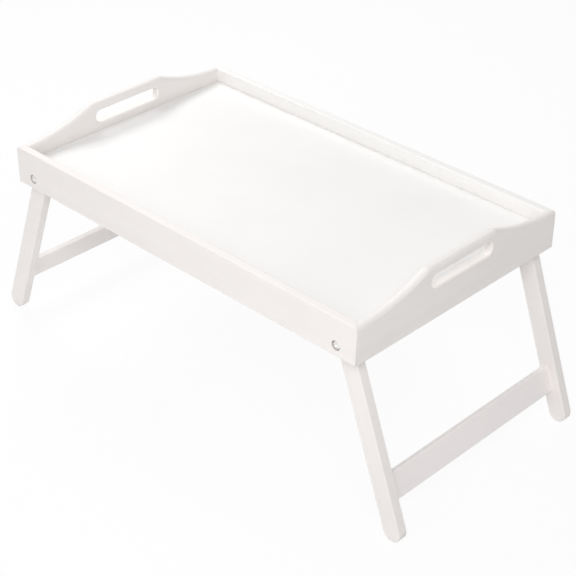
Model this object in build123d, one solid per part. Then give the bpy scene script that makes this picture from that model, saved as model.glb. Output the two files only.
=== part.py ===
from build123d import *
import os
from math import cos, radians, sin

# A folding bed tray: four mitred boards round a thin panel let into grooves, on two leg frames.
# Each frame is two flat legs joined by a stretcher. It turns on two screws through the long rails,
# stands splayed against the lower inside edge of an end board, and folds flat under the panel.
#
# Axes: +X towards the right end board, +Y towards the rear rail, +Z up.
# Origin: on the floor, under the middle of the tray.
# All sizes are in millimetres.

# ---- driving dimensions -------------------------------------------------------------------------

TRAY_LENGTH = 500.0          # over the end boards
TRAY_WIDTH = 303.0           # over the rails
BOARD = 10.0                 # thickness of rails and end boards
RAIL_HEIGHT = 43.0
PLAN_CORNER_ROUND = 1.2      # upright outer corners
RAIL_EDGE_ROUND = 1.5        # long edges of the rails
END_TOP_ROUND = 4.4          # along the shaped top of an end board, inside and out
END_FOOT_ROUND = 1.0         # lower edges of an end board

HANDLE_RISE = 19.0           # top of the handle above the rails
HANDLE_TOP_LENGTH = 103.0    # level top, measured between the unrounded shoulders
SHOULDER_ROUND = 14.0
SLOT_LENGTH = 92.0
SLOT_HEIGHT = 15.0
SLOT_CORNER_ROUND = 6.6
SLOT_MIDDLE_HEIGHT = 44.1    # above the underside of the rails
SLOT_EDGE_BEVEL = 1.2

PANEL_THICKNESS = 3.0
PANEL_DEPTH = 16.0           # panel surface below the top of the rails
GROOVE_DEPTH = 5.0
PANEL_END_GAP = 0.5          # room left at the bottom of each groove
PANEL_TOP_GAP = 0.2          # room left over the panel in its groove

LEG_WIDTH = 21.0
LEG_THICKNESS = 11.0
LEG_CENTRES = 204.0          # pivot to the middle of the rounded foot
LEG_EDGE_BEVEL = 0.8
LEG_SPLAY = 20.0             # degrees from upright
LEG_PANEL_GAP = 1.5          # folded leg to the underside of the panel
STOP_GAP = 0.3               # open leg to the edge that stops it

STRETCHER_HEIGHT = 29.5
STRETCHER_THICKNESS = 7.0
STRETCHER_DROP = 163.3       # pivot to the middle of the stretcher, down the leg
STRETCHER_EDGE_ROUND = 1.2
# Middle of the stretcher from the middle of the leg's width, positive outwards. Both frames are
# made alike, and the left one is fitted with its inner side out.
STRETCHER_SHIFT = {"left": 4.0, "right": -4.0}

DOWEL_DIAMETER = 4.0
DOWEL_SPACING = 14.0
DOWEL_IN_LEG = 7.0
DOWEL_IN_STRETCHER = 18.0
DOWEL_END_GAP = 0.5
GLUE_GAP = 0.05              # round every dowel and corner nail

SCREW_DIAMETER = 5.0
SCREW_LENGTH = 25.0          # under the head
HEAD_DIAMETER = 9.5
HEAD_HEIGHT = 3.4
HEAD_BEVEL = 1.4
COUNTERBORE_DIAMETER = 10.6
COUNTERBORE_DEPTH = 4.0
RAIL_HOLE_CLEARANCE = 0.2    # on the radius
PIVOT_CLEARANCE = 0.05       # on the radius, shank to leg
WASHER_CLEARANCE = 0.15      # on the radius
THREAD_CLEARANCE = 0.03      # on the radius, screw to nut
RECESS_SPAN = 5.0            # across the cross recess
RECESS_WIDTH = 1.1
RECESS_DEPTH = 2.2
RECESS_TAPER = 12.0          # degrees

SPACER_DIAMETER = 14.0
SPACER_THICKNESS = 0.8
WASHER_DIAMETER = 10.0
WASHER_THICKNESS = 1.0
SIDE_PLAY = 0.2              # between a leg and the washer on each side of it
NUT_FLATS = 8.0
NUT_HEX_HEIGHT = 3.6
NUT_COLLAR_DIAMETER = 7.4
NUT_HEIGHT = 5.0
NUT_CORNER_CUT = 0.5
INSERT_DIAMETER = 6.3        # nylon ring in the nut's collar
INSERT_HEIGHT = 1.1
INSERT_CLEARANCE = 0.03      # on the radius, ring to collar and ring to screw

NAIL_LEG = 7.0               # V-nail across each mitre, seen from above
NAIL_THICKNESS = 0.7
NAIL_HEIGHT = 12.0
NAIL_INSET = 4.0             # apex of the V from both outer faces
NAIL_BURY = 1.5              # lowest nail above the underside of the rails
NAILS_PER_CORNER = 2

# ---- places that follow from them ----------------------------------------------------------------

splay = radians(LEG_SPLAY)
pivot_height = RAIL_HEIGHT - PANEL_DEPTH - PANEL_THICKNESS - LEG_PANEL_GAP - LEG_WIDTH / 2
pivot_z = LEG_CENTRES * cos(splay) + LEG_WIDTH / 2
rail_bottom = pivot_z - pivot_height
rail_top = rail_bottom + RAIL_HEIGHT
handle_top = rail_top + HANDLE_RISE
panel_top = rail_top - PANEL_DEPTH
panel_bottom = panel_top - PANEL_THICKNESS

half_length = TRAY_LENGTH / 2
half_width = TRAY_WIDTH / 2
inner_x = half_length - BOARD
inner_y = half_width - BOARD

# The open leg's outer edge rests against the rounded lower edge of the end board.
stop_x = inner_x + END_FOOT_ROUND
stop_below_pivot = pivot_height - END_FOOT_ROUND
stop_reach = LEG_WIDTH / 2 + STOP_GAP + END_FOOT_ROUND
pivot_x = stop_x - (stop_reach + stop_below_pivot * sin(splay)) / cos(splay)

leg_outer_y = inner_y - SPACER_THICKNESS - SIDE_PLAY
leg_inner_y = leg_outer_y - LEG_THICKNESS
head_seat_y = half_width - COUNTERBORE_DEPTH
nut_washer_y = leg_inner_y - SIDE_PLAY
nut_y = nut_washer_y - WASHER_THICKNESS

SIDES = {"left": -1, "right": 1}
ENDS = {"front": -1, "rear": 1}
EPSILON = 0.01


# ---- the tray ------------------------------------------------------------------------------------

def end_board_outline():
    """Side view of an end board: level top, rounded shoulders, hollow sweeps down to the rails."""
    shoulder = HANDLE_TOP_LENGTH / 2
    foot = Polyline(
        (-inner_y, rail_top), (-half_width, rail_top), (-half_width, rail_bottom),
        (half_width, rail_bottom), (half_width, rail_top), (inner_y, rail_top),
    )
    right_sweep = TangentArc((inner_y, rail_top), (shoulder, handle_top), tangent=(-1, 0))
    level = Line((shoulder, handle_top), (-shoulder, handle_top))
    left_sweep = TangentArc((-inner_y, rail_top), (-shoulder, handle_top), tangent=(1, 0))
    face = make_face(Curve() + [foot, right_sweep, level, left_sweep])
    shoulders = face.vertices().filter_by(lambda corner: abs(corner.Y - handle_top) < EPSILON)
    return fillet(shoulders, SHOULDER_ROUND)


def above_rails(edge):
    """Whether an edge belongs to the shaped top."""
    return edge.bounding_box().min.Z > rail_top - EPSILON


def frame_envelope():
    """The outside of the four boards: the end profile carried through, its ends rounded over."""
    envelope = extrude(Plane.YZ * end_board_outline(), half_length, both=True)
    end_edges = envelope.faces().filter_by(Axis.X).edges()
    envelope = fillet(end_edges.filter_by(above_rails), END_TOP_ROUND)
    uprights = envelope.edges().filter_by(Axis.Z)
    return fillet(uprights, PLAN_CORNER_ROUND)


def mitre_wedge(points):
    """The share of the frame that one board fills, between its two mitres."""
    plan = make_face(Polyline(*points, close=True))
    return Pos(0, 0, rail_bottom) * extrude(plan, RAIL_HEIGHT + HANDLE_RISE)


def panel_room():
    """What the four grooves leave for the panel."""
    length = 2 * (inner_x + GROOVE_DEPTH)
    width = 2 * (inner_y + GROOVE_DEPTH)
    height = PANEL_THICKNESS + PANEL_TOP_GAP
    return Pos(0, 0, panel_bottom + height / 2) * Box(length, width, height)


def corner_nail(clearance=0.0):
    """One V-nail in plan at the right rear corner, standing on its lower end."""
    wide = NAIL_THICKNESS / 2 + clearance
    apex_x = half_length - NAIL_INSET
    apex_y = half_width - NAIL_INSET
    tip = NAIL_LEG + clearance
    plan = make_face(Polyline(
        (apex_x + wide, apex_y + wide),
        (apex_x - tip, apex_y + wide),
        (apex_x - tip, apex_y - wide),
        (apex_x - wide, apex_y - wide),
        (apex_x - wide, apex_y - tip),
        (apex_x + wide, apex_y - tip),
        close=True,
    ))
    return extrude(plan, NAIL_HEIGHT)


def corner_nails(side, end):
    """The nails stacked in one corner."""
    nail = corner_nail()
    if side < 0:
        nail = mirror(nail, Plane.YZ)
    if end < 0:
        nail = mirror(nail, Plane.XZ)
    heights = [rail_bottom + NAIL_BURY + number * NAIL_HEIGHT for number in range(NAILS_PER_CORNER)]
    return [Pos(0, 0, height) * nail for height in heights]


def nail_pockets():
    """Room for the nails at the right rear corner and the left rear corner."""
    pocket = Pos(0, 0, rail_bottom) * extrude(
        corner_nail(GLUE_GAP).faces().sort_by(Axis.Z)[0],
        NAIL_BURY + NAILS_PER_CORNER * NAIL_HEIGHT + GLUE_GAP,
        dir=(0, 0, 1),
    )
    rear = pocket + mirror(pocket, Plane.YZ)
    return rear + mirror(rear, Plane.XZ)


def rear_rail(envelope):
    """A plain rail with a groove inside and a counterbored pivot hole near each end."""
    section = RectangleRounded(BOARD, RAIL_HEIGHT, RAIL_EDGE_ROUND)
    middle = Pos(0, half_width - BOARD / 2, rail_bottom + RAIL_HEIGHT / 2)
    bar = middle * extrude(Plane.YZ * section, half_length, both=True)
    wedge = mitre_wedge([
        (-half_length, half_width), (half_length, half_width),
        (inner_x, inner_y), (-inner_x, inner_y),
    ])
    rail = bar & envelope & wedge
    rail -= panel_room()
    rail -= nail_pockets()
    for side in SIDES.values():
        across = Pos(side * pivot_x, half_width, pivot_z) * Rot(90, 0, 0)
        hole = Cylinder(SCREW_DIAMETER / 2 + RAIL_HOLE_CLEARANCE, 4 * BOARD)
        bore = Cylinder(COUNTERBORE_DIAMETER / 2, 2 * COUNTERBORE_DEPTH)
        rail -= across * hole
        rail -= across * bore
    return rail


def right_end_board(envelope):
    """An end board with its hand slot, rounded along the top, eased at the foot and round the slot."""
    slot = Pos(0, rail_bottom + SLOT_MIDDLE_HEIGHT) * RectangleRounded(
        SLOT_LENGTH, SLOT_HEIGHT, SLOT_CORNER_ROUND
    )
    board = Pos(inner_x, 0, 0) * extrude(Plane.YZ * (end_board_outline() - slot), BOARD)
    sides = board.faces().filter_by(Axis.X)
    slot_edges = ShapeList([edge for side in sides for wire in side.inner_wires() for edge in wire.edges()])
    board = chamfer(slot_edges, SLOT_EDGE_BEVEL)
    inner_edges = board.faces().filter_by(Axis.X).sort_by(Axis.X)[0].outer_wire().edges()
    board = fillet(inner_edges.filter_by(above_rails), END_TOP_ROUND)
    foot_edges = board.faces().sort_by(Axis.Z)[0].edges().filter_by(Axis.Y)
    board = fillet(foot_edges, END_FOOT_ROUND)
    wedge = mitre_wedge([
        (half_length, -half_width), (half_length, half_width),
        (inner_x, inner_y), (inner_x, -inner_y),
    ])
    board = board & envelope & wedge
    board -= panel_room()
    board -= nail_pockets()
    return board


def base_panel():
    """The panel, a little smaller than its grooves so that it can swell."""
    length = 2 * (inner_x + GROOVE_DEPTH - PANEL_END_GAP)
    width = 2 * (inner_y + GROOVE_DEPTH - PANEL_END_GAP)
    return Pos(0, 0, panel_bottom + PANEL_THICKNESS / 2) * Box(length, width, PANEL_THICKNESS)


# ---- a leg frame, upright with its pivot at the origin --------------------------------------------

def dowel_places(side_name):
    """Where the two dowels of a joint lie across the leg and down it."""
    shift = STRETCHER_SHIFT[side_name]
    return [(shift, -STRETCHER_DROP + offset) for offset in (-DOWEL_SPACING / 2, DOWEL_SPACING / 2)]


def along_y(diameter, start, stop, place):
    """A round bar or hole parallel to Y, from start to stop."""
    length = stop - start
    return Pos(place[0], (start + stop) / 2, place[1]) * Rot(90, 0, 0) * Cylinder(diameter / 2, length)


def rear_leg(side_name):
    """A flat leg with both ends fully rounded, bored for its pivot and for two dowels."""
    outline = Pos(0, -LEG_CENTRES / 2) * Rot(0, 0, 90) * SlotCenterToCenter(LEG_CENTRES, LEG_WIDTH)
    leg = Pos(0, leg_outer_y, 0) * extrude(Plane.XZ * outline, LEG_THICKNESS)
    leg = chamfer(leg.faces().filter_by(Axis.Y).edges(), LEG_EDGE_BEVEL)
    pivot_hole = SCREW_DIAMETER + 2 * PIVOT_CLEARANCE
    leg -= along_y(pivot_hole, leg_inner_y - LEG_THICKNESS, leg_outer_y + LEG_THICKNESS, (0, 0))
    dowel_hole = DOWEL_DIAMETER + 2 * GLUE_GAP
    for place in dowel_places(side_name):
        leg -= along_y(dowel_hole, leg_inner_y - LEG_THICKNESS, leg_inner_y + DOWEL_IN_LEG + DOWEL_END_GAP, place)
    return leg


def stretcher(side_name):
    """The flat rail between the two legs of a frame, bored at both ends for the dowels."""
    section = Pos(STRETCHER_SHIFT[side_name], -STRETCHER_DROP) * RectangleRounded(
        STRETCHER_THICKNESS, STRETCHER_HEIGHT, STRETCHER_EDGE_ROUND
    )
    bar = extrude(Plane.XZ * section, leg_inner_y, both=True)
    dowel_hole = DOWEL_DIAMETER + 2 * GLUE_GAP
    depth = DOWEL_IN_STRETCHER + DOWEL_END_GAP
    for place in dowel_places(side_name):
        for end in ENDS.values():
            mouth, bottom = end * (leg_inner_y + LEG_THICKNESS), end * (leg_inner_y - depth)
            bar -= along_y(dowel_hole, min(mouth, bottom), max(mouth, bottom), place)
    return bar


def rear_dowels(side_name):
    """The two dowels that hold the stretcher to the rear leg."""
    start, stop = leg_inner_y - DOWEL_IN_STRETCHER, leg_inner_y + DOWEL_IN_LEG
    return [along_y(DOWEL_DIAMETER, start, stop, place) for place in dowel_places(side_name)]


def stand(shape, side):
    """Splays a piece of a leg frame and moves it to its pivot."""
    return Pos(side * pivot_x, 0, pivot_z) * Rot(0, -side * LEG_SPLAY, 0) * shape


# ---- the pivot hardware, on the Y axis through the origin, head towards +Y --------------------------

def pivot_screw():
    """A pan-head screw with a tapered cross recess. Its head is sunk in the rail's counterbore."""
    on_seat = (Align.CENTER, Align.CENTER, Align.MIN)
    head = Cylinder(HEAD_DIAMETER / 2, HEAD_HEIGHT, align=on_seat)
    head = chamfer(head.edges().sort_by(Axis.Z)[-1], HEAD_BEVEL)
    screw = head + Rot(180, 0, 0) * Cylinder(SCREW_DIAMETER / 2, SCREW_LENGTH, align=on_seat)
    arm = Rot(180, 0, 0) * extrude(Rectangle(RECESS_SPAN, RECESS_WIDTH), RECESS_DEPTH, taper=RECESS_TAPER)
    for turn in (0, 90):
        screw -= Pos(0, 0, HEAD_HEIGHT) * Rot(0, 0, turn) * arm
    return Pos(0, head_seat_y, 0) * Rot(-90, 0, 0) * screw


def ring_on_screw(diameter, clearance, thickness, inner_face_y):
    """A flat ring on the screw, lying outwards from the given face."""
    ring = Circle(diameter / 2) - Circle(SCREW_DIAMETER / 2 + clearance)
    return Pos(0, inner_face_y, 0) * extrude(Plane.XZ * ring, -thickness)


def lock_nut():
    """A hexagon nut bearing on its washer, with a round collar that is bored out for the nylon ring."""
    on_seat = (Align.CENTER, Align.CENTER, Align.MIN)
    hexagon = extrude(RegularPolygon(NUT_FLATS / 2, 6, major_radius=False), NUT_HEX_HEIGHT)
    turned = Cylinder(NUT_FLATS / 2 / cos(radians(30)), NUT_HEX_HEIGHT, align=on_seat)
    hexagon &= chamfer(turned.edges().sort_by(Axis.Z)[-1], NUT_CORNER_CUT)
    collar = Cylinder(NUT_COLLAR_DIAMETER / 2, NUT_HEIGHT, align=on_seat)
    bore = Cylinder(SCREW_DIAMETER / 2 + THREAD_CLEARANCE, NUT_HEIGHT, align=on_seat)
    pocket = Cylinder(INSERT_DIAMETER / 2 + INSERT_CLEARANCE, INSERT_HEIGHT, align=on_seat)
    pocket = Pos(0, 0, NUT_HEIGHT - INSERT_HEIGHT) * pocket
    return Pos(0, nut_y, 0) * Rot(90, 0, 0) * (hexagon + collar - bore - pocket)


# ---- write every node ----------------------------------------------------------------------------

def save(name, shapes):
    """Writes one node, from one solid or from a group of separate solids."""
    shapes = shapes if isinstance(shapes, list) else [shapes]
    solids = [solid for shape in shapes for solid in shape.solids()]
    node = solids[0] if len(solids) == 1 else Compound(children=solids)
    export_step(node, f"parts/{name}.step")


def save_tray():
    """The four boards and the panel between them."""
    envelope = frame_envelope()
    rail = rear_rail(envelope)
    board = right_end_board(envelope)
    save("rear_rail", rail)
    save("front_rail", mirror(rail, Plane.XZ))
    save("right_end_board", board)
    save("left_end_board", mirror(board, Plane.YZ))
    save("base_panel", base_panel())


def save_leg_frame(side_name):
    """Two legs, their stretcher and its dowels. The left frame is built as a right one, then mirrored."""
    side = SIDES[side_name]
    leg, dowels, rail = rear_leg(side_name), rear_dowels(side_name), stretcher(side_name)
    if side < 0:
        leg, rail = mirror(leg, Plane.YZ), mirror(rail, Plane.YZ)
        dowels = [mirror(dowel, Plane.YZ) for dowel in dowels]
    save(f"{side_name}_rear_leg", stand(leg, side))
    save(f"{side_name}_front_leg", stand(mirror(leg, Plane.XZ), side))
    save(f"{side_name}_stretcher", stand(rail, side))
    dowels += [mirror(dowel, Plane.XZ) for dowel in dowels]
    save(f"{side_name}_dowels", [stand(dowel, side) for dowel in dowels])


def save_hardware(side_name):
    """The screws, washers, nuts and corner nails at one end of the tray, front and rear."""
    side = SIDES[side_name]
    pieces = {
        "pivot_screws": pivot_screw(),
        "spacer_washers": ring_on_screw(
            SPACER_DIAMETER, WASHER_CLEARANCE, SPACER_THICKNESS, leg_outer_y + SIDE_PLAY
        ),
        "nut_washers": ring_on_screw(WASHER_DIAMETER, WASHER_CLEARANCE, WASHER_THICKNESS, nut_y),
        "lock_nuts": lock_nut(),
        "nut_inserts": ring_on_screw(INSERT_DIAMETER, INSERT_CLEARANCE, INSERT_HEIGHT, nut_y - NUT_HEIGHT),
    }
    for name, piece in pieces.items():
        placed = Pos(side * pivot_x, 0, pivot_z) * piece
        save(f"{side_name}_{name}", [mirror(placed, Plane.XZ), placed])
    save(f"{side_name}_corner_nails", corner_nails(side, ENDS["front"]) + corner_nails(side, ENDS["rear"]))


os.makedirs("parts", exist_ok=True)
save_tray()
for side_name in SIDES:
    save_leg_frame(side_name)
    save_hardware(side_name)
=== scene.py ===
# %% [markdown]
# # A folding bed tray, from bare frame to finished paint
#
# The object is a low wooden tray that stands over somebody's lap. Four mitred boards hold a thin
# panel, the two end boards rise into slotted handles, and two leg frames fold flat underneath.
# Its shape and its joints were made as a construction model. This file gives it its looks: softened
# edges, paint that shows a little grain, bright screws, and a plain studio to stand in.
#
# The construction model comes in first. Every later piece is measured from it, so nothing has to be
# fitted by eye. Each finished piece prints how far its box lies from the part it stands for.

# %% Load the construction model
from math import cos, pi, radians, sin

import bpy
from mathutils import Matrix, Vector


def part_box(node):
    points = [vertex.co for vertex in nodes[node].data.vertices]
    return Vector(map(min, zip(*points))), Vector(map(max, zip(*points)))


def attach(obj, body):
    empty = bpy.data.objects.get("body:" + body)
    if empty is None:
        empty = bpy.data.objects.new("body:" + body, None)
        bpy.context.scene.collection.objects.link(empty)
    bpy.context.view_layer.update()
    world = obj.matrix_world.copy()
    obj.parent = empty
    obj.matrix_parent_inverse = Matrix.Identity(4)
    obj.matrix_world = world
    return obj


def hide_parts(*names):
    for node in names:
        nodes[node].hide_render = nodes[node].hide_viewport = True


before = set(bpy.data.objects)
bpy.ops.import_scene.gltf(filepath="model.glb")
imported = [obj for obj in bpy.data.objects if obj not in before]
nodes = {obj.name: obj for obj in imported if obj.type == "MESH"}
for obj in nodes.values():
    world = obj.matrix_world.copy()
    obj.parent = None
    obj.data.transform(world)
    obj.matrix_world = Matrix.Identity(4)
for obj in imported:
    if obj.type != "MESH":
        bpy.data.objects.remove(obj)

scene = bpy.context.scene
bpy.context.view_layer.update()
print("pieces:", ", ".join(sorted(nodes)))

# %% [markdown]
# ## The camera
#
# A camera is easiest to describe by how far round the object it stands, how high, how far away, and
# what lens it carries. Here it stands almost at the front right corner, a third of the way up from
# the floor, more than a metre and a half away, with a long lens. A long lens keeps the two ends of
# the tray nearly the same size.

# %% Place the camera
CAMERA_ROUND = 43.91     # degrees to the right of the front
CAMERA_UP = 32.72        # degrees above the floor
CAMERA_TILT = 0.60       # degrees that the camera leans
CAMERA_AWAY = 1.667      # metres from what it looks at
CAMERA_AIM = Vector((0.0451, -0.0292, 0.1285))
CAMERA_LENS = 98.05      # millimetres
SENSOR_WIDTH = 36.0      # millimetres

round_angle, up_angle = radians(CAMERA_ROUND), radians(CAMERA_UP)
towards_camera = Vector((
    sin(round_angle) * cos(up_angle),
    -cos(round_angle) * cos(up_angle),
    sin(up_angle),
))
bpy.ops.object.camera_add(location=CAMERA_AIM + towards_camera * CAMERA_AWAY)
camera = bpy.context.object
camera.name = "studio_camera"
camera.data.lens = CAMERA_LENS
camera.data.sensor_width = SENSOR_WIDTH
level_view = (-towards_camera).to_track_quat("-Z", "Y").to_matrix()
camera.rotation_euler = (level_view @ Matrix.Rotation(radians(CAMERA_TILT), 3, "Z")).to_euler()
scene.camera = camera
scene.view_settings.view_transform = "Standard"
print("camera stands at", [round(value, 3) for value in camera.location])

# %% [markdown]
# ## Writing materials as sums
#
# A material is a graph of nodes, and most of a graph is arithmetic. Wiring it by hand hides the
# sums, so we wrap a socket in a small class whose operators add the Math nodes for us. Then
# `0.4 + 0.1 * grain` means what it says. Everything that is not arithmetic comes from one method.

# %% A socket that can be used in a sum
class Wire:
    """One output socket of a material's node graph."""

    def __init__(self, finish, socket):
        self.finish = finish
        self.socket = socket

    def __add__(self, other):
        return self.finish.sum_node("ADD", self, other)

    def __sub__(self, other):
        return self.finish.sum_node("SUBTRACT", self, other)

    def __rsub__(self, other):
        return self.finish.sum_node("SUBTRACT", other, self)

    def __mul__(self, other):
        return self.finish.sum_node("MULTIPLY", self, other)

    def __pow__(self, other):
        return self.finish.sum_node("POWER", self, other)

    __radd__ = __add__
    __rmul__ = __mul__


# %% A material that is being written
class Finish:
    """A material, its shader, and the method that adds any node to it."""

    def __init__(self, name, shader="ShaderNodeBsdfPrincipled"):
        self.material = bpy.data.materials.new(name)
        self.material.use_nodes = True
        self.tree = self.material.node_tree
        self.tree.nodes.clear()
        output = self.tree.nodes.new("ShaderNodeOutputMaterial")
        self.shader = self.tree.nodes.new(shader)
        self.tree.links.new(self.shader.outputs[0], output.inputs["Surface"])

    def feed(self, socket, value):
        """Links a wire to a socket, or writes a plain value into it."""
        if isinstance(value, Wire):
            self.tree.links.new(value.socket, socket)
        else:
            socket.default_value = value

    def node(self, kind, settings=None, sockets=None, output=0):
        """Adds a node: its settings first, then its sockets. Gives back one of its outputs."""
        made = self.tree.nodes.new(kind)
        for name, value in (settings or {}).items():
            setattr(made, name, value)
        for name, value in (sockets or {}).items():
            self.feed(made.inputs[name], value)
        return Wire(self, made.outputs[output])

    def sum_node(self, operation, first, second):
        return self.node("ShaderNodeMath", {"operation": operation}, {0: first, 1: second})

    def mix_colours(self, share, first, second):
        """Blends two colours. A share of 1 is all of the second."""
        return self.node(
            "ShaderNodeMix", {"data_type": "RGBA"}, {0: share, 6: first, 7: second}, output=2
        )

    def surface(self, **sockets):
        """Writes the shader's own sockets, such as Base_Color or Roughness."""
        for name, value in sockets.items():
            self.feed(self.shader.inputs[name.replace("_", " ")], value)
        return self.material


print("material helpers are ready")

# %% [markdown]
# ## The studio
#
# The tray is white and so is the room, which is the hardest case for a light: too much and every
# face melts into one, too little and white paint turns grey. The room gives a weak even light.
# A near lamp above the left end lights the tops, and fades along the tray, so that no face has one
# flat tone. A lamp high at the front right keeps the end board that faces the camera from going
# grey, and one far in front reaches in under the tray and into the hand slots.
#
# The floor is real, so it catches the soft shadow of the legs, but what the camera sees of it is
# mostly plain white, so that the shadow stays light.

# %% Floor and world
PURE_WHITE = (1.0, 1.0, 1.0, 1.0)
FLOOR_WHITE = (0.93, 0.93, 0.93, 1.0)
FLOOR_WIDTH = 30.0           # metres
CAMERA_SEES_WHITE = 0.92     # share of the floor that is plain white to the camera
ROOM_LIGHT = 0.41            # strength of the even light, where 1 is white

bpy.ops.object.select_all(action="DESELECT")
bpy.ops.mesh.primitive_plane_add(size=FLOOR_WIDTH, location=(0.0, 0.0, 0.0))
floor = bpy.context.object
floor.name = "studio_floor"
floor_finish = Finish("studio_floor_white", "ShaderNodeMixShader")
lit_floor = floor_finish.node("ShaderNodeBsdfDiffuse", None, {"Color": FLOOR_WHITE})
plain_white = floor_finish.node("ShaderNodeEmission", None, {"Color": PURE_WHITE, "Strength": 1.0})
seen_by_camera = floor_finish.node("ShaderNodeLightPath", output="Is Camera Ray")
floor_finish.feed(floor_finish.shader.inputs[0], seen_by_camera * CAMERA_SEES_WHITE)
floor_finish.feed(floor_finish.shader.inputs[1], lit_floor)
floor_finish.feed(floor_finish.shader.inputs[2], plain_white)
floor.data.materials.append(floor_finish.material)

# the camera, and whatever mirrors the room, sees it plain white, but it lights the tray weakly
world = bpy.data.worlds.new("studio_room")
scene.world = world
world.use_nodes = True
world_tree = world.node_tree
background = world_tree.nodes["Background"]
light_path = world_tree.nodes.new("ShaderNodeLightPath")
shown = world_tree.nodes.new("ShaderNodeMath")
shown.operation = "MAXIMUM"
world_tree.links.new(light_path.outputs["Is Camera Ray"], shown.inputs[0])
reflected = world_tree.nodes.new("ShaderNodeMath")
reflected.operation = "MAXIMUM"
world_tree.links.new(light_path.outputs["Is Glossy Ray"], reflected.inputs[0])
world_tree.links.new(light_path.outputs["Is Transmission Ray"], reflected.inputs[1])
world_tree.links.new(reflected.outputs[0], shown.inputs[1])
strength = world_tree.nodes.new("ShaderNodeMapRange")
strength.inputs["To Min"].default_value = ROOM_LIGHT
strength.inputs["To Max"].default_value = 1.0
world_tree.links.new(shown.outputs[0], strength.inputs["Value"])
world_tree.links.new(strength.outputs["Result"], background.inputs["Strength"])
background.inputs["Color"].default_value = PURE_WHITE
print("room light", ROOM_LIGHT)

# %% Lamps
def soft_lamp(name, place, target, size, power):
    """A square area lamp that faces a point. Its size is in metres and its power in watts."""
    bpy.ops.object.light_add(type="AREA", location=place)
    lamp = bpy.context.object
    lamp.name = name
    lamp.data.size = size
    lamp.data.energy = power
    lamp.rotation_euler = (Vector(target) - Vector(place)).to_track_quat("-Z", "Y").to_euler()
    print(name, "stands at", place)


TRAY_LEFT = (-0.1, 0.0, 0.2)
TRAY_MIDDLE = (0.0, 0.0, 0.2)
soft_lamp("lamp_left", (-0.9, 0.3, 1.2), TRAY_LEFT, size=0.6, power=8.2)
soft_lamp("lamp_right", (0.9, -0.9, 1.3), TRAY_MIDDLE, size=0.8, power=11.3)
soft_lamp("lamp_front", (0.2, -2.2, 1.0), TRAY_MIDDLE, size=1.0, power=8.9)

# %% [markdown]
# ## White paint on solid wood
#
# The boards, legs and stretchers are pale hardwood under a few coats of white satin paint. Up close
# such paint is not flat. The pores of the wood pull it into fine lines along the board, each coat
# lies a little thicker in one place than another, and the spray leaves a skin like very fine
# leather. All of it could be drawn as an image and wrapped round each board, but an image has seams
# and ends. A pattern worked out from the place of each point has neither, and it can be turned so
# that it always runs along the grain of the piece that it covers.
#
# Wood drinks the most paint where it is cut across its fibres. On this tray that is only at the two
# round ends of each leg, so the leg paint is told where they are, and grows duller there. The walls
# of the screw holes in the rails are painted dark grey, a painted shade that deepens the gap round
# each head.
# The rear rail and the stretchers get a whiter copy of the paint, painted light that makes them a
# shade brighter than the lamps alone do.

# %% Sizes that the paint and the legs share
MM = 0.001
screw_low, screw_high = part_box("right_pivot_screws")
PIVOT_X = (screw_low.x + screw_high.x) / 2
PIVOT_Z = (screw_low.z + screw_high.z) / 2
LEG_CENTRES = 204.0 * MM
LEG_WIDTH = 21.0 * MM
LEG_SPLAY = radians(20.0)
HOLE_RADIUS = 5.3 * MM
print("pivots, in mm from the middle:", round(PIVOT_X / MM, 2), "and up:", round(PIVOT_Z / MM, 2))


# %% Patterns that run along the grain
def along(finish, turn, stretch=1.0, start=(0.0, 0.0, 0.0)):
    """Places on the piece, with X turned along its grain and the pattern drawn out along X."""
    place = finish.node("ShaderNodeTexCoord", output="Object")
    return finish.node(
        "ShaderNodeMapping",
        {"vector_type": "TEXTURE"},
        {"Vector": place, "Location": start, "Rotation": turn, "Scale": (stretch, 1.0, 1.0)},
    )


def clouds(finish, place, grain_size, detail=2.0):
    """Smooth random light and dark, about 0.5 on average. Grain size is a patch's, in metres."""
    return finish.node(
        "ShaderNodeTexNoise", None, {"Vector": place, "Scale": 1.0 / grain_size, "Detail": detail}
    )


def relief(finish, height, depth):
    """Turns a height from 0 to 1 into a bumpy surface that deep, in metres."""
    sockets = {"Height": height, "Distance": depth, "Strength": 1.0}
    return finish.node("ShaderNodeBump", None, sockets, output="Normal")


ALONG_RAILS = (0.0, 0.0, 0.0)
ALONG_ENDS = (0.0, 0.0, pi / 2)
DOWN_LEG = {"right": (0.0, pi / 2 - LEG_SPLAY, 0.0), "left": (0.0, pi / 2 + LEG_SPLAY, 0.0)}
SIDES = {"left": -1, "right": 1}
print("grain runs along X, along Y, or down a leg")


# %% The paint
# each coat's colour where it is thin, and where it is full
USUAL_COAT = ((0.864, 0.825, 0.804, 1.0), (0.906, 0.870, 0.851, 1.0))
# a whiter copy of the paint for the rear rail: painted light
REAR_RAIL_LIT_COAT = ((0.896, 0.884, 0.867, 1.0), (0.930, 0.918, 0.902, 1.0))
# a whiter, pinker copy of the paint for the stretchers: painted light
STRETCHER_LIT_COAT = ((0.928, 0.882, 0.872, 1.0), (0.950, 0.908, 0.898, 1.0))
# dark grey for the walls of the screw holes: painted shade
HOLE_WALL_SHADE = (0.46, 0.41, 0.36, 1.0)
PAINT_GLOSS = 0.3
MOUTH_SOFTNESS = 0.1 * MM      # how far each way the painted shade of a hole fades into the paint


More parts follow.
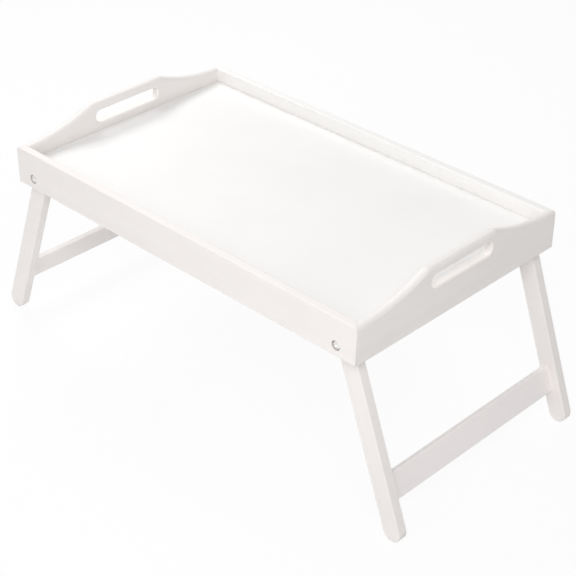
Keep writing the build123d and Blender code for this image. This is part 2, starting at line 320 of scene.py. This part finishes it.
def inside_screw_holes(finish):
    """1 within the two wide screw holes of a rail, 0 elsewhere, and soft at their mouths."""
    place = finish.node("ShaderNodeTexCoord", output="Object")
    along_rail = finish.node("ShaderNodeSeparateXYZ", None, {"Vector": place}, output="X")
    height = finish.node("ShaderNodeSeparateXYZ", None, {"Vector": place}, output="Z") - PIVOT_Z
    sideways = finish.node("ShaderNodeMath", {"operation": "ABSOLUTE"}, {0: along_rail}) - PIVOT_X
    reach = (height * height + sideways * sideways) ** 0.5
    return finish.node(
        "ShaderNodeMapRange",
        None,
        {
            "Value": reach,
            "From Min": HOLE_RADIUS - MOUTH_SOFTNESS,
            "From Max": HOLE_RADIUS + MOUTH_SOFTNESS,
            "To Min": 1.0,
            "To Max": 0.0,
        },
    )


PORE, FIGURE, COAT_PATCH, SPRAY_SKIN = 1.1 * MM, 9.0 * MM, 60.0 * MM, 0.7 * MM      # pattern sizes
GRAIN_STRETCH = 22.0
END_GRAIN_START = LEG_CENTRES / 2 + 2.0 * MM       # from the middle of a leg


def white_paint(name, turn, coat_colours=USUAL_COAT, leg_side=None, holes=False):
    """Satin white paint over wood whose grain runs the given way."""
    finish = Finish(name)
    grain = along(finish, turn, stretch=GRAIN_STRETCH)
    pores = clouds(finish, grain, PORE, detail=3.0)
    figure = clouds(finish, grain, FIGURE)
    even = along(finish, turn)
    coat = clouds(finish, even, COAT_PATCH, detail=3.0)
    skin = clouds(finish, even, SPRAY_SKIN, detail=1.0)
    cover = 0.4 * coat + 0.35 * figure + 0.25 * pores
    dullness = 0.40 + 0.06 * coat + 0.08 * pores + 0.04 * skin
    if leg_side:
        down = along(finish, turn, start=(SIDES[leg_side] * PIVOT_X, 0.0, PIVOT_Z))
        distance = finish.node("ShaderNodeSeparateXYZ", None, {"Vector": down}, output="X")
        from_middle = finish.node(
            "ShaderNodeMath", {"operation": "ABSOLUTE"}, {0: distance - LEG_CENTRES / 2}
        )
        end_grain = finish.node(
            "ShaderNodeMapRange",
            {"interpolation_type": "SMOOTHSTEP"},
            {
                "Value": from_middle,
                "From Min": END_GRAIN_START,
                "From Max": LEG_CENTRES / 2 + LEG_WIDTH / 2,
            },
        )
        cover = cover - 0.25 * end_grain
        dullness = dullness + 0.10 * end_grain
    sharper = finish.node(
        "ShaderNodeMapRange", None, {"Value": cover, "From Min": 0.32, "From Max": 0.68}
    )
    colour = finish.mix_colours(sharper, *coat_colours)
    if holes:
        # the walls of the screw holes are painted dark grey: painted shade round each screw head
        colour = finish.mix_colours(inside_screw_holes(finish), colour, HOLE_WALL_SHADE)
    return finish.surface(
        Base_Color=colour,
        Roughness=dullness,
        Specular_IOR_Level=PAINT_GLOSS,
        Normal=relief(finish, 0.65 * pores + 0.35 * skin, 0.02 * MM),
    )


rail_paint = {
    "front": white_paint("white_paint_front_rail", ALONG_RAILS, holes=True),
    # the rear rail takes the whiter copy of the paint: painted light
    "rear": white_paint("lit_white_paint_rear_rail", ALONG_RAILS, REAR_RAIL_LIT_COAT, holes=True),
}
end_paint = white_paint("white_paint_end_boards", ALONG_ENDS)
# the stretchers take their whiter copy of the paint: painted light
stretcher_paint = white_paint("lit_white_paint_stretchers", ALONG_ENDS, STRETCHER_LIT_COAT)
leg_paint = {
    side: white_paint("white_paint_" + side + "_legs", DOWN_LEG[side], leg_side=side)
    for side in SIDES
}
paints = [*rail_paint.values(), end_paint, stretcher_paint, *leg_paint.values()]
print("paints:", ", ".join(paint.name for paint in paints))

# %% [markdown]
# ## The painted panel
#
# The panel is thin wood-fibre board. It has no grain, and it is coated flat on a line, so the paint
# is smoother and a shade whiter than on the boards. What is left is the slight pebble of a roller
# and, very faintly, the fibres underneath. The panel's own shape from the construction model is
# right as it is, a plain sheet held in four grooves, so it only gets this finish.

# %% Finish of the panel
PANEL_THIN = (0.884, 0.876, 0.867, 1.0)
PANEL_FULL = (0.914, 0.906, 0.897, 1.0)
PANEL_PATCH, ROLLER_PEBBLE = 90.0 * MM, 1.6 * MM      # pattern sizes
FIBRES_PER_METRE = 420.0

panel_finish = Finish("white_panel_paint")
panel_place = along(panel_finish, ALONG_RAILS)
panel_coat = clouds(panel_finish, panel_place, PANEL_PATCH, detail=3.0)
panel_pebble = clouds(panel_finish, panel_place, ROLLER_PEBBLE)
panel_fibre = panel_finish.node(
    "ShaderNodeTexNoise",
    None,
    {"Vector": panel_place, "Scale": FIBRES_PER_METRE, "Detail": 4.0, "Distortion": 1.5},
)
panel_cover = panel_finish.node(
    "ShaderNodeMapRange",
    None,
    {"Value": 0.6 * panel_coat + 0.4 * panel_fibre, "From Min": 0.35, "From Max": 0.65},
)
panel_finish.surface(
    Base_Color=panel_finish.mix_colours(panel_cover, PANEL_THIN, PANEL_FULL),
    Roughness=0.38 + 0.06 * panel_coat + 0.06 * panel_pebble,
    Specular_IOR_Level=PAINT_GLOSS,
    Normal=relief(panel_finish, 0.75 * panel_pebble + 0.25 * panel_fibre, 0.015 * MM),
)
print("panel finish:", panel_finish.material.name)

# %% [markdown]
# ## Metal, nylon and bare wood
#
# The small parts carry the joints. The screws, washers and nuts are steel with a bright coat of
# zinc, which is never quite even: it clouds where the plating was thicker. The ring in each lock
# nut is milky nylon. The dowels are bare beech, known by its short dark flecks, and the corner
# nails are plain rolled strip. Only two screw heads are easy to see, but the rest shows when the
# tray is turned over, so each gets a finish of its own.

# %% Zinc plate and rolled strip
ZINC_DARK, ZINC_LIGHT = (0.82, 0.82, 0.81, 1.0), (0.94, 0.94, 0.92, 1.0)
STRIP_DARK, STRIP_LIGHT = (0.34, 0.34, 0.35, 1.0), (0.52, 0.52, 0.52, 1.0)
PLATING_CLOUD, FINE_LINE = 3.5 * MM, 0.18 * MM      # pattern sizes


def bare_metal(name, dark, light, dullness, streak=1.0):
    """Metal whose colour and gloss cloud a little. Streak draws out its fine lines."""
    finish = Finish(name)
    place = along(finish, ALONG_RAILS)
    drawn = along(finish, ALONG_ENDS, stretch=streak)
    plating = clouds(finish, place, PLATING_CLOUD, detail=3.0)
    lines = clouds(finish, drawn, FINE_LINE)
    return finish.surface(
        Base_Color=finish.mix_colours(0.6 * plating + 0.4 * lines, dark, light),
        Metallic=1.0,
        Roughness=dullness + 0.10 * plating + 0.08 * lines,
        Normal=relief(finish, lines, 0.004 * MM),
    )


zinc = bare_metal("bright_zinc_plate", ZINC_DARK, ZINC_LIGHT, dullness=0.16)
strip = bare_metal("rolled_steel_strip", STRIP_DARK, STRIP_LIGHT, dullness=0.32, streak=30.0)
print("metals:", zinc.name, strip.name)

# %% Nylon and beech
NYLON_DARK, NYLON_LIGHT = (0.80, 0.80, 0.75, 1.0), (0.90, 0.90, 0.87, 1.0)
BEECH_LIGHT, BEECH_DARK = (0.80, 0.62, 0.42, 1.0), (0.56, 0.38, 0.22, 1.0)
NYLON_CLOUD, BEECH_BAND, BEECH_FLECK = 2.2 * MM, 1.6 * MM, 0.35 * MM      # pattern sizes

nylon = Finish("natural_nylon")
nylon_cloud = clouds(nylon, along(nylon, ALONG_RAILS), NYLON_CLOUD, detail=3.0)
nylon.surface(
    Base_Color=nylon.mix_colours(nylon_cloud, NYLON_DARK, NYLON_LIGHT),
    Roughness=0.42 + 0.12 * nylon_cloud,
    Normal=relief(nylon, nylon_cloud, 0.01 * MM),
)

beech = Finish("bare_beech")
beech_grain = along(beech, ALONG_ENDS, stretch=14.0)
beech_band = clouds(beech, beech_grain, BEECH_BAND, detail=3.0)
short_grain = along(beech, ALONG_ENDS, stretch=5.0)
beech_fleck = clouds(beech, short_grain, BEECH_FLECK, detail=1.0) ** 3.0
beech.surface(
    Base_Color=beech.mix_colours(0.7 * beech_band + 1.2 * beech_fleck, BEECH_LIGHT, BEECH_DARK),
    Roughness=0.60 + 0.15 * beech_band,
    Normal=relief(beech, beech_band, 0.03 * MM),
)
print("small finishes:", nylon.material.name, beech.material.name)

# %% [markdown]
# ## Working by hand, in code
#
# The pieces are made as one would at the bench: start from a plain blank, pick the edges or faces
# to work on, and shape them. An operator works on everything that is selected, so each new blank
# begins with nothing else selected, and every choice of faces or edges is made by where they lie.
#
# The last helper is about light, not shape. A small rounded edge next to a large flat face would
# throw a false shadow across the face, because smooth shading shares out the corner's direction
# evenly. Weighting it by area keeps the flat faces flat and puts the whole turn into the edge.

# %% Blanks and selections
import bmesh


def to_mesh(piece):
    """Moves the blank's place, turn and size into its mesh."""
    bpy.ops.object.transform_apply(location=True, rotation=True, scale=True)
    return piece


def block(name, size, middle):
    """A rectangular blank."""
    bpy.ops.object.select_all(action="DESELECT")
    bpy.ops.mesh.primitive_cube_add(size=1.0, location=middle, scale=size)
    bpy.context.object.name = name
    return to_mesh(bpy.context.object)


def rod(name, radius, length, middle, sides=64):
    """A round blank that lies along Y, like every screw and dowel here."""
    bpy.ops.object.select_all(action="DESELECT")
    bpy.ops.mesh.primitive_cylinder_add(
        vertices=sides, radius=radius, depth=length, location=middle, rotation=(-pi / 2, 0.0, 0.0)
    )
    bpy.context.object.name = name
    return to_mesh(bpy.context.object)


def alone(piece):
    """Makes one piece the only selected one."""
    bpy.ops.object.select_all(action="DESELECT")
    piece.select_set(True)
    bpy.context.view_layer.objects.active = piece
    return piece


def pick_faces(piece, wanted):
    """In edit mode, selects the faces whose middle and normal pass a test."""
    bpy.ops.mesh.select_mode(type="FACE")
    bpy.ops.mesh.select_all(action="DESELECT")
    shape = bmesh.from_edit_mesh(piece.data)
    for face in shape.faces:
        face.select_set(bool(wanted(face.calc_center_median(), face.normal)))
    bmesh.update_edit_mesh(piece.data)


def pick_edges(piece, wanted):
    """In edit mode, selects the edges whose two ends pass a test."""
    bpy.ops.mesh.select_mode(type="EDGE")
    bpy.ops.mesh.select_all(action="DESELECT")
    shape = bmesh.from_edit_mesh(piece.data)
    for edge in shape.edges:
        edge.select_set(bool(wanted(edge.verts[0].co, edge.verts[1].co)))
    bmesh.update_edit_mesh(piece.data)


def near(first, second, gap=0.02 * MM):
    return abs(first - second) < gap


print("bench is ready")


# %% Cutting, copying, placing
def cut(piece, tool):
    """Takes a tool's shape out of a piece, as a drill does, and puts the tool away."""
    alone(piece)
    drill = piece.modifiers.new("cut", "BOOLEAN")
    drill.operation = "DIFFERENCE"
    drill.solver = "EXACT"
    drill.object = tool
    bpy.ops.object.modifier_apply(modifier=drill.name)
    bpy.data.objects.remove(tool)


def copy_of(piece, name):
    """A copy with its own mesh."""
    twin = bpy.data.objects.new(name, piece.data.copy())
    scene.collection.objects.link(twin)
    return twin


def shift(piece, move):
    """Moves the whole mesh, and leaves the object at the origin."""
    alone(piece)
    bpy.ops.object.mode_set(mode="EDIT")
    bpy.ops.mesh.select_all(action="SELECT")
    bpy.ops.transform.translate(value=move)
    bpy.ops.object.mode_set(mode="OBJECT")


def turn_about_y(piece, angle, centre=(0.0, 0.0, 0.0)):
    """Turns the whole mesh. With no window the operator turns the other way, hence the sign."""
    alone(piece)
    bpy.ops.object.mode_set(mode="EDIT")
    bpy.ops.mesh.select_all(action="SELECT")
    bpy.ops.transform.rotate(value=-angle, orient_axis="Y", center_override=centre)
    bpy.ops.object.mode_set(mode="OBJECT")


def mirrored(piece, name):
    """A mirror image, front to back. That turns a shape inside out, so its normals are mended."""
    twin = alone(copy_of(piece, name))
    bpy.ops.object.mode_set(mode="EDIT")
    bpy.ops.mesh.select_all(action="SELECT")
    bpy.ops.transform.resize(value=(1.0, -1.0, 1.0), center_override=(0.0, 0.0, 0.0))
    bpy.ops.mesh.normals_make_consistent(inside=False)
    bpy.ops.object.mode_set(mode="OBJECT")
    return twin


def joined(pieces, name):
    """Several loose shapes as one piece."""
    bpy.ops.object.select_all(action="DESELECT")
    for piece in pieces:
        piece.select_set(True)
    bpy.context.view_layer.objects.active = pieces[0]
    bpy.ops.object.join()
    whole = bpy.context.object
    whole.name = name
    return whole


FLAT_FACES_LEAD = 100      # above 50, the largest faces set the direction of the light


def hand_over(piece, node, body, material, smooth_below=38.0):
    """Shades a finished piece, smooth over edges that turn fewer degrees than smooth_below, paints
    it, hangs it on its body, hides the part of the construction model that it stands for, and
    prints how far its box lies from that part's."""
    alone(piece)
    bpy.ops.object.shade_smooth_by_angle(angle=radians(smooth_below))
    even = piece.modifiers.new("even_light", "WEIGHTED_NORMAL")
    even.keep_sharp = True
    even.weight = FLAT_FACES_LEAD
    bpy.ops.object.modifier_apply(modifier=even.name)
    piece.data.materials.clear()
    piece.data.materials.append(material)
    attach(piece, body)
    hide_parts(node)
    low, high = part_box(node)
    places = [vertex.co for vertex in piece.data.vertices]
    off = max(
        max(abs(min(place[axis] for place in places) - low[axis]) for axis in range(3)),
        max(abs(max(place[axis] for place in places) - high[axis]) for axis in range(3)),
    )
    faces = len(piece.data.polygons)
    print(piece.name, "has", faces, "faces; its box is off by", round(off / MM, 3), "mm")


print("tools are ready")

# %% [markdown]
# ## The four boards
#
# Each board is cut to a mitre, glued, nailed across the corner and then painted with the rest. The
# construction model already has the shaped handles, the slots, the grooves and the mitres, but its
# cuts are knife sharp. Real paint and a quick rub with fine paper leave every arris slightly round,
# and where two boards meet that leaves a hairline along the mitre.
#
# We could model the boards again from blanks, and would only repeat the same shape. So each one is
# copied and its loose triangles are merged back into flat faces. Then the rims that a hand or a
# driver meets, round the slots and the screw holes, are eased with a narrow bevel, and each mitre
# face is drawn back by a hair.

# %% Soften the boards
SLOT_RIM = 0.4 * MM
HOLE_RIM = 0.3 * MM
MITRE_HAIR = 0.04 * MM
# room round a hand slot and its chamfer: up from the boards' foot, and out from their middle
SLOT_LOW, SLOT_HIGH, SLOT_REACH = 34.0 * MM, 54.0 * MM, 47.5 * MM
outer_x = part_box("right_end_board")[1].x
outer_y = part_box("rear_rail")[1].y
rail_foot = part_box("rear_rail")[0].z
SAME_POINT = 0.001 * MM
SAME_PLANE = radians(0.5)


def merged(node, name):
    """A copy of a part of the construction model, its loose triangles merged into whole faces."""
    piece = alone(copy_of(nodes[node], name))
    bpy.ops.object.mode_set(mode="EDIT")
    bpy.ops.mesh.select_all(action="SELECT")
    bpy.ops.mesh.remove_doubles(threshold=SAME_POINT)
    bpy.ops.mesh.dissolve_limited(angle_limit=SAME_PLANE)
    bpy.ops.object.mode_set(mode="OBJECT")
    return piece


def open_mitres(board):
    """Draws both mitre faces back, along their own direction."""
    for across in (-1, 1):
        for along_x in (-1, 1):
            outwards = Vector((along_x, across, 0.0)).normalized()

            def on_mitre(middle, normal):
                in_corner = middle.x * along_x > 0 or middle.y * across > 0
                on_diagonal = near(abs(middle.x) - abs(middle.y), outer_x - outer_y)
                return in_corner and on_diagonal and normal.dot(outwards) > 0.999

            pick_faces(board, on_mitre)
            bpy.ops.transform.translate(value=-MITRE_HAIR * outwards)


def ease_slot(board):
    """Eases the edges of the chamfer round a hand slot."""

    def in_room(end):
        return abs(end.y) < SLOT_REACH and SLOT_LOW < end.z - rail_foot < SLOT_HIGH

    def on_slot(one, two):
        return in_room(one) and in_room(two) and near(one.x, two.x)

    pick_edges(board, on_slot)
    bpy.ops.mesh.bevel(offset=SLOT_RIM, segments=2, affect="EDGES", clamp_overlap=False)


def ease_holes(rail):
    """Eases the mouths of the two screw holes on the outside of a rail."""

    def on_mouth(one, two):
        reach = [Vector((abs(end.x) - PIVOT_X, end.z - PIVOT_Z)).length for end in (one, two)]
        outside = all(near(abs(end.y), outer_y) for end in (one, two))
        return outside and all(near(far, HOLE_RADIUS, 0.1 * MM) for far in reach)

    pick_edges(rail, on_mouth)
    bpy.ops.mesh.bevel(offset=HOLE_RIM, segments=3, affect="EDGES", clamp_overlap=False)


BOARDS = {
    "front_rail": (rail_paint["front"], ease_holes),
    "rear_rail": (rail_paint["rear"], ease_holes),
    "left_end_board": (end_paint, ease_slot),
    "right_end_board": (end_paint, ease_slot),
}
for node, (paint, ease) in BOARDS.items():
    board = merged(node, "painted_" + node)
    bpy.ops.object.mode_set(mode="EDIT")
    open_mitres(board)
    ease(board)
    bpy.ops.object.mode_set(mode="OBJECT")
    hand_over(board, node, "tray", paint, smooth_below=34.0)

panel = nodes["base_panel"]
panel.data.materials.clear()
panel.data.materials.append(panel_finish.material)

# %% [markdown]
# ## The legs
#
# A leg is a flat bar with both ends fully rounded, so that it clears the panel as it swings and
# never digs a corner into the bedding. On the real one the outline is routed and the arrises are
# sanded. We start from a block as long as the finished leg, round its four upright corners by half
# its width, ease both outlines, and drill it: right through for the pivot, and blind from the inner
# side for the two dowels of the stretcher.
#
# It is made standing upright with its pivot at the origin, which keeps every number simple. Only
# then is it mirrored for the other rail, turned to its splay and moved to its screw. The left
# frame is the same frame with its other side out. So the stretcher lies towards the middle of the
# tray in the right frame and away from it in the left one: to the left of the legs' middle in both.

# %% Sizes of a leg frame
leg_low, leg_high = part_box("right_rear_leg")
LEG_INSIDE, LEG_OUTSIDE = leg_low.y, leg_high.y
LEG_THICKNESS = LEG_OUTSIDE - LEG_INSIDE
LEG_ARRIS = 0.8 * MM
ARRIS_TURN = radians(60.0)      # edges that turn more than this are eased
PIVOT_HOLE = 2.55 * MM          # radius
DOWEL_RADIUS = 2.0 * MM
DOWEL_HOLE = 2.05 * MM          # radius
DOWEL_IN_LEG = 7.0 * MM
DOWEL_IN_STRETCHER = 18.0 * MM
DOWEL_END_GAP = 0.5 * MM
STRETCHER_DROP = 163.3 * MM
STRETCHER_HEIGHT = 29.5 * MM
STRETCHER_THICKNESS = 7.0 * MM
STRETCHER_ROUND = 1.2 * MM
STRETCHER_SHIFT = -4.0 * MM     # along X from the middle of a leg, alike in both frames
DOWEL_STEP = 7.0 * MM           # each dowel from the middle of the stretcher
JUST_SHORT = 0.001 * MM         # keeps the two bevels of an end apart,
END_GAP = 0.01 * MM             # and the points they leave this close are merged
dowel_heights = [-STRETCHER_DROP - DOWEL_STEP, -STRETCHER_DROP + DOWEL_STEP]
print("a leg is", round(LEG_THICKNESS / MM, 2), "mm thick")


# %% One upright leg
def upright_leg(name):
    """A rear leg with its pivot at the origin, drilled for its screw and two dowels."""
    middle_y = (LEG_INSIDE + LEG_OUTSIDE) / 2
    leg = block(
        name,
        (LEG_WIDTH, LEG_THICKNESS, LEG_CENTRES + LEG_WIDTH),
        (0.0, middle_y, -LEG_CENTRES / 2),
    )
    bpy.ops.object.mode_set(mode="EDIT")
    pick_edges(leg, lambda one, two: near(one.x, two.x) and near(one.z, two.z))
    bpy.ops.mesh.bevel(
        offset=LEG_WIDTH / 2 - JUST_SHORT, segments=24, affect="EDGES", clamp_overlap=False
    )
    bpy.ops.mesh.select_all(action="SELECT")
    bpy.ops.mesh.remove_doubles(threshold=END_GAP)
    bpy.ops.object.mode_set(mode="OBJECT")
    ease = leg.modifiers.new("eased_edges", "BEVEL")
    ease.limit_method = "ANGLE"
    ease.angle_limit = ARRIS_TURN
    ease.width = LEG_ARRIS
    ease.segments = 4
    ease.use_clamp_overlap = False
    bpy.ops.object.modifier_apply(modifier=ease.name)
    cut(leg, rod("pivot_drill", PIVOT_HOLE, 4 * LEG_THICKNESS, (0.0, middle_y, 0.0)))
    depth = DOWEL_IN_LEG + DOWEL_END_GAP
    for height in dowel_heights:
        place = (STRETCHER_SHIFT, LEG_INSIDE - LEG_THICKNESS + (LEG_THICKNESS + depth) / 2, height)
        cut(leg, rod("dowel_drill", DOWEL_HOLE, LEG_THICKNESS + depth, place, sides=32))
    return leg


def stand_up(piece, side):
    """Turns a finished upright piece to its splay and moves it to its pivot."""
    turn_about_y(piece, -SIDES[side] * LEG_SPLAY)
    shift(piece, (SIDES[side] * PIVOT_X, 0.0, PIVOT_Z))


for side in SIDES:
    rear_leg = upright_leg("painted_" + side + "_rear_leg")
    front_leg = mirrored(rear_leg, "painted_" + side + "_front_leg")
    for end, leg in (("rear", rear_leg), ("front", front_leg)):
        node = side + "_" + end + "_leg"
        stand_up(leg, side)
        hand_over(leg, node, side + "_leg_frame", leg_paint[side])

# %% [markdown]
# ## The stretchers and their dowels
#
# A stretcher keeps the two legs of a frame in step, and is the bar one's feet would find. It is a
# thin flat board with its long arrises rounded over, drilled in both ends. A dowel joint is cheap
# and strong: two dowels stop it turning. Dowels are sold with flutes along them, so that the glue
# and the air can get out, and with eased ends, so that they find their holes.

# %% Stretchers
for side in SIDES:
    bar = block(
        "painted_" + side + "_stretcher",
        (STRETCHER_THICKNESS, 2 * LEG_INSIDE, STRETCHER_HEIGHT),
        (STRETCHER_SHIFT, 0.0, -STRETCHER_DROP),
    )
    bpy.ops.object.mode_set(mode="EDIT")
    pick_edges(bar, lambda one, two: near(one.x, two.x) and near(one.z, two.z))
    bpy.ops.mesh.bevel(offset=STRETCHER_ROUND, segments=4, affect="EDGES")
    bpy.ops.object.mode_set(mode="OBJECT")
    for end in (-1, 1):
        for height in dowel_heights:
            length = DOWEL_IN_STRETCHER + DOWEL_END_GAP + LEG_THICKNESS
            place = (STRETCHER_SHIFT, end * (LEG_INSIDE + LEG_THICKNESS - length / 2), height)
            cut(bar, rod("dowel_drill", DOWEL_HOLE, length, place, sides=32))
    stand_up(bar, side)
    hand_over(bar, side + "_stretcher", side + "_leg_frame", stretcher_paint)


# %% Dowels
DOWEL_SIDES = 36
DOWEL_EASE = 0.35 * MM
FLUTE_WALL, FLUTE_DEPTH = 0.06 * MM, 0.12 * MM


def fluted_dowel(name, place):
    """A dowel along Y with eased ends and a flute in every third side."""
    dowel = rod(name, DOWEL_RADIUS, DOWEL_IN_LEG + DOWEL_IN_STRETCHER, place, sides=DOWEL_SIDES)
    bpy.ops.object.mode_set(mode="EDIT")
    pick_edges(dowel, lambda one, two: near(one.y, two.y))
    bpy.ops.mesh.bevel(offset=DOWEL_EASE, segments=2, affect="EDGES")

    def one_in_three(middle, normal):
        turned = Vector((normal.x, normal.z)).angle_signed(Vector((1.0, 0.0))) / (2 * pi)
        number = round((turned % 1.0) * DOWEL_SIDES - 0.5)
        return abs(normal.y) < 0.01 and number % 3 == 0

    pick_faces(dowel, one_in_three)
    bpy.ops.mesh.inset(thickness=FLUTE_WALL, depth=-FLUTE_DEPTH, use_individual=True)
    bpy.ops.object.mode_set(mode="OBJECT")
    return dowel


dowel_middle = LEG_INSIDE + (DOWEL_IN_LEG - DOWEL_IN_STRETCHER) / 2
for side in SIDES:
    pegs = []
    for number, height in enumerate(dowel_heights):
        rear_peg = fluted_dowel("dowel_" + str(number), (STRETCHER_SHIFT, dowel_middle, height))
        pegs += [rear_peg, mirrored(rear_peg, "dowel_front_" + str(number))]
    dowels = joined(pegs, "beech_" + side + "_dowels")
    stand_up(dowels, side)
    node, body = side + "_dowels", side + "_leg_frame"
    hand_over(dowels, node, body, beech.material, smooth_below=20.0)

# %% [markdown]
# ## The pivots
#
# Every leg turns on one screw. Its domed head lies just below the face of the rail, in a hole
# with a flat floor. Behind the rail comes a wide thin washer for the leg to rub on, then the leg
# on the smooth part of the screw, another washer, and a lock nut whose nylon ring grips the
# thread, so that the joint can stay slack enough to turn without working loose.
#
# Round parts are usually spun from a profile. Here the screw starts as a short round blank instead,
# and its end faces are pushed out and scaled in steps, which is the same profile made one step at
# a time. Each washer is a blank with its middle taken out. Everything is built at the right rear
# pivot, mirrored for the front, and then copied to the left.

# %% Steps of a turned part
def grow(piece, direction, steps):
    """From the end face on one side, pushes out a profile: (radius, place along Y) pairs."""

    def how_far_out(face):
        return round(direction * face.calc_center_median().y / MM, 3), len(face.verts)

    for radius, reach in steps:
        end_face = max(bmesh.from_edit_mesh(piece.data).faces, key=how_far_out)
        middle = end_face.calc_center_median()
        across = max((vertex.co - middle).length for vertex in end_face.verts)

        def on_end(place, normal):
            return near((place - middle).length, 0.0) and direction * normal.y > 0.9

        pick_faces(piece, on_end)
        move = (0.0, reach - middle.y, 0.0)
        bpy.ops.mesh.extrude_region_move(TRANSFORM_OT_translate={"value": move})
        bpy.ops.transform.resize(
            value=(radius / across, 1.0, radius / across),
            center_override=(middle.x, reach, middle.z),
        )


def from_right_rear(piece, kind):
    """Copies a right rear part to the other three pivots, and gives back a pair for each side."""
    front = mirrored(piece, kind + "_front")
    right_pair = joined([piece, front], "right_" + kind)
    left_pair = copy_of(right_pair, "left_" + kind)
    shift(left_pair, (-2 * PIVOT_X, 0.0, 0.0))
    return {"right": right_pair, "left": left_pair}


print("turning helpers are ready")

# %% Pivot screws
HEAD_HEIGHT = 3.4 * MM
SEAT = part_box("right_pivot_screws")[1].y - HEAD_HEIGHT      # underside of the head
TIP = SEAT - 25.0 * MM
THREAD_START = TIP + 7.6 * MM
THREAD_PITCH = 0.8 * MM
CREST_RADIUS, ROOT_RADIUS, TIP_RADIUS = 2.49 * MM, 2.12 * MM, 1.7 * MM
HEAD_RADIUS = 4.75 * MM
HEAD_SIDE = 1.9 * MM
# radius, and height over the seat, in mm
DOME = [
    (4.70, 2.15), (4.52, 2.45), (4.15, 2.75), (3.60, 2.98),
    (2.90, 3.15), (2.10, 3.28), (1.20, 3.36), (0.50, 3.39),
]
screw = rod("screw", HEAD_RADIUS, HEAD_SIDE, (PIVOT_X, SEAT + HEAD_SIDE / 2, PIVOT_Z))
bpy.ops.object.mode_set(mode="EDIT")
grow(screw, 1, [(radius * MM, SEAT + height * MM) for radius, height in DOME])
shank = [(CREST_RADIUS, SEAT), (CREST_RADIUS, THREAD_START)]
turns = round((THREAD_START - TIP - THREAD_PITCH) / THREAD_PITCH)      # a pitch is left for the tip
# one turn of thread: radius, and the share of the pitch at which it is reached
THREAD_TURN = [(ROOT_RADIUS, 0.35), (ROOT_RADIUS, 0.55), (CREST_RADIUS, 0.90), (CREST_RADIUS, 1.0)]
for turn in range(turns):
    crest = THREAD_START - turn * THREAD_PITCH
    shank += [(radius, crest - share * THREAD_PITCH) for radius, share in THREAD_TURN]
shank.append((TIP_RADIUS, TIP))
grow(screw, -1, shank)
bpy.ops.object.mode_set(mode="OBJECT")
print("a screw has", turns, "turns of thread")

# %% The cross in the head, and the other screws
ARM_LONG, ARM_WIDE, ARM_HIGH = 3.9 * MM, 0.85 * MM, 1.2 * MM
ARM_TAPER = 0.6      # size of the driver's end face, as a share of its top
RECESS_FLOOR = SEAT + 2.5 * MM
RECESS_TURN = radians(27.0)
for across in (False, True):
    arm = (ARM_WIDE, ARM_HIGH, ARM_LONG) if across else (ARM_LONG, ARM_HIGH, ARM_WIDE)
    driver = block("driver_arm", arm, (PIVOT_X, RECESS_FLOOR + ARM_HIGH / 2, PIVOT_Z))
    bpy.ops.object.mode_set(mode="EDIT")
    pick_faces(driver, lambda middle, normal: normal.y < -0.9)
    bpy.ops.transform.resize(
        value=(ARM_TAPER, 1.0, ARM_TAPER), center_override=(PIVOT_X, RECESS_FLOOR, PIVOT_Z)
    )
    bpy.ops.object.mode_set(mode="OBJECT")
    turn_about_y(driver, RECESS_TURN, centre=(PIVOT_X, 0.0, PIVOT_Z))
    cut(screw, driver)
for side, pair in from_right_rear(screw, "zinc_pivot_screws").items():
    hand_over(pair, side + "_pivot_screws", "tray", zinc, smooth_below=32.0)


# %% Washers
def ring(name, outer, inner, inside_y, thickness, arris):
    """A flat ring round the right rear pivot, its edges eased."""
    blank = rod(name, outer, thickness, (PIVOT_X, inside_y + thickness / 2, PIVOT_Z))
    bpy.ops.object.mode_set(mode="EDIT")
    pick_faces(blank, lambda middle, normal: abs(normal.y) > 0.9)
    bpy.ops.mesh.inset(thickness=outer - inner)
    bpy.ops.mesh.bridge_edge_loops()
    middle = Vector((PIVOT_X, PIVOT_Z))

    def on_rim(one, two):
        return near(one.y, two.y) and near((one.xz - middle).length, (two.xz - middle).length)

    pick_edges(blank, on_rim)
    bpy.ops.mesh.bevel(offset=arris, segments=2, affect="EDGES")
    bpy.ops.mesh.normals_make_consistent(inside=False)
    bpy.ops.object.mode_set(mode="OBJECT")
    return blank


# outer radius, inner radius, thickness and eased edge, in mm
RINGS = {
    "spacer_washers": ((7.0, 2.65, 0.8, 0.12), "zinc_plated_steel", zinc),
    "nut_washers": ((5.0, 2.65, 1.0, 0.15), "zinc_plated_steel", zinc),
    "nut_inserts": ((3.15, 2.53, 1.1, 0.08), "nylon", nylon.material),
}
for kind, (sizes, slot, material) in RINGS.items():
    outer, inner, thickness, arris = [size * MM for size in sizes]
    outside_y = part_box("right_" + kind)[1].y
    rear_ring = ring(kind, outer, inner, outside_y - thickness, thickness, arris)
    for side, pair in from_right_rear(rear_ring, "turned_" + kind).items():
        hand_over(pair, side + "_" + kind, "tray", material, smooth_below=32.0)

# %% [markdown]
# ## Lock nuts and corner nails
#
# The construction model has the nuts down to the chamfered hexagon, the round collar and the pocket
# for the nylon ring. Stamped steel has no sharp edges, so they get the same treatment as the
# boards, only narrower. The corner nails are driven flush and hidden, and keep their shape.

# %% Soften the nuts, finish the nails
NUT_EDGE = 0.12 * MM
NUT_TURN = radians(40.0)      # edges that turn more than this are eased
for side in SIDES:
    nut = merged(side + "_lock_nuts", "pressed_" + side + "_lock_nuts")
    ease = nut.modifiers.new("eased_edges", "BEVEL")
    ease.limit_method = "ANGLE"
    ease.angle_limit = NUT_TURN
    ease.width = NUT_EDGE
    ease.segments = 2
    bpy.ops.object.modifier_apply(modifier=ease.name)
    hand_over(nut, side + "_lock_nuts", "tray", zinc, smooth_below=30.0)
    nails = nodes[side + "_corner_nails"]
    nails.data.materials.clear()
    nails.data.materials.append(strip)
    print(nails.name, "keep their shape")
